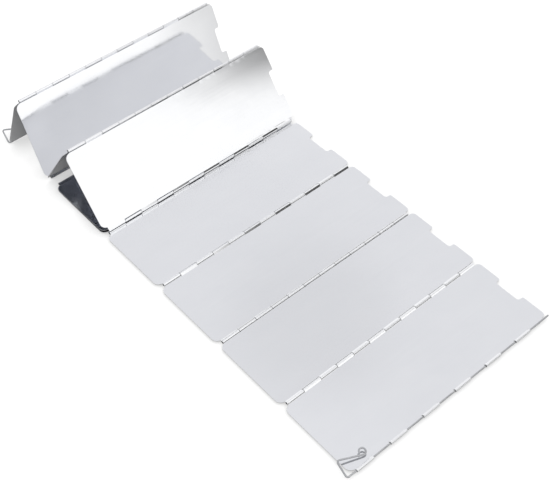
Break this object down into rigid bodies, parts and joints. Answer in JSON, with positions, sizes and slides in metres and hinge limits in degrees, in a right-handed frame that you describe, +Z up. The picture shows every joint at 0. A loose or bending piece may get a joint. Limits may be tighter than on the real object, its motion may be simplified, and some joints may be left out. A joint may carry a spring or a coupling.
{
  "type": "stove windscreen",
  "caption": "Folding sheet-metal windscreen for a camp stove: notched panels on rolled-knuckle hinges, with a bent wire stake rod along each free edge.",
  "frame": {"origin": "on the ground under the middle of the screen's box", "axes": "+X along the unfolded run toward panel 1, +Y along the hinges from the plain edge to the notched edge, +Z up"},
  "size_m": [0.5192, 0.2518, 0.0793],
  "materials": {
    "sheet": "polished",
    "pin_wire": "drawn",
    "stake_wire": "bright drawn"
  },
  "bodies": {
    "panel_1": {"panel_1": "sheet", "hinge_pin_1": "pin_wire"},
    "panel_2": {"panel_2": "sheet", "hinge_pin_2": "pin_wire"},
    "panel_3": {"panel_3": "sheet", "hinge_pin_3": "pin_wire"},
    "panel_4": {"panel_4": "sheet", "hinge_pin_4": "pin_wire"},
    "panel_5": {"panel_5": "sheet", "hinge_pin_5": "pin_wire"},
    "panel_6": {"panel_6": "sheet", "hinge_pin_6": "pin_wire"},
    "panel_7": {"panel_7": "sheet", "hinge_pin_7": "pin_wire"},
    "panel_8": {"panel_8": "sheet", "hinge_pin_8": "pin_wire"},
    "panel_9": {"panel_9": "sheet", "hinge_pin_9": "pin_wire"},
    "panel_10": {"panel_10": "sheet"},
    "stake_right": {"stake_rod_right": "stake_wire"},
    "stake_left": {"stake_rod_left": "stake_wire"}
  },
  "joints": [
    {"name": "hinge_1", "type": "hinge", "parent": "panel_2", "child": "panel_1", "pos_m": [0.17422, -0.00041, 0.00245], "axis": [0, -1, 0], "range_deg": [-138, 160]},
    {"name": "hinge_2", "type": "hinge", "parent": "panel_3", "child": "panel_2", "pos_m": [0.09022, -0.00041, 0.00135], "axis": [0, 1, 0], "range_deg": [-138, 177]},
    {"name": "hinge_3", "type": "hinge", "parent": "panel_4", "child": "panel_3", "pos_m": [0.00622, -0.00041, 0.00245], "axis": [0, -1, 0], "range_deg": [-138, 148]},
    {"name": "hinge_4", "type": "hinge", "parent": "panel_4", "child": "panel_5", "pos_m": [-0.07778, -0.00041, 0.00135], "axis": [0, -1, 0], "range_deg": [-48, 177]},
    {"name": "hinge_5", "type": "hinge", "parent": "panel_5", "child": "panel_6", "pos_m": [-0.16178, -0.00041, 0.00245], "axis": [0, 1, 0], "range_deg": [-160, 0]},
    {"name": "hinge_6", "type": "hinge", "parent": "panel_6", "child": "panel_7", "pos_m": [-0.07782, -0.00041, 0.00535], "axis": [0, -1, 0], "range_deg": [-123, 10]},
    {"name": "hinge_7", "type": "hinge", "parent": "panel_7", "child": "panel_8", "pos_m": [-0.12959, -0.00041, 0.07152], "axis": [0, 1, 0], "range_deg": [-4.9, 222]},
    {"name": "hinge_8", "type": "hinge", "parent": "panel_8", "child": "panel_9", "pos_m": [-0.17578, -0.00041, 0.00135], "axis": [0, -1, 0], "range_deg": [-16, 172]},
    {"name": "hinge_9", "type": "hinge", "parent": "panel_9", "child": "panel_10", "pos_m": [-0.21029, -0.00041, 0.07794], "axis": [0, 1, 0], "range_deg": [-6, 238]},
    {"name": "stake_right_swivel", "type": "hinge", "parent": "panel_1", "child": "stake_right", "pos_m": [0.25822, -0.00041, 0.00245], "axis": [0, 1, 0], "range_deg": [0, 315]},
    {"name": "stake_left_swivel", "type": "hinge", "parent": "panel_10", "child": "stake_left", "pos_m": [-0.24478, -0.00041, 0.00135], "axis": [0, -1, 0], "range_deg": [-77, 238]}
  ]
}
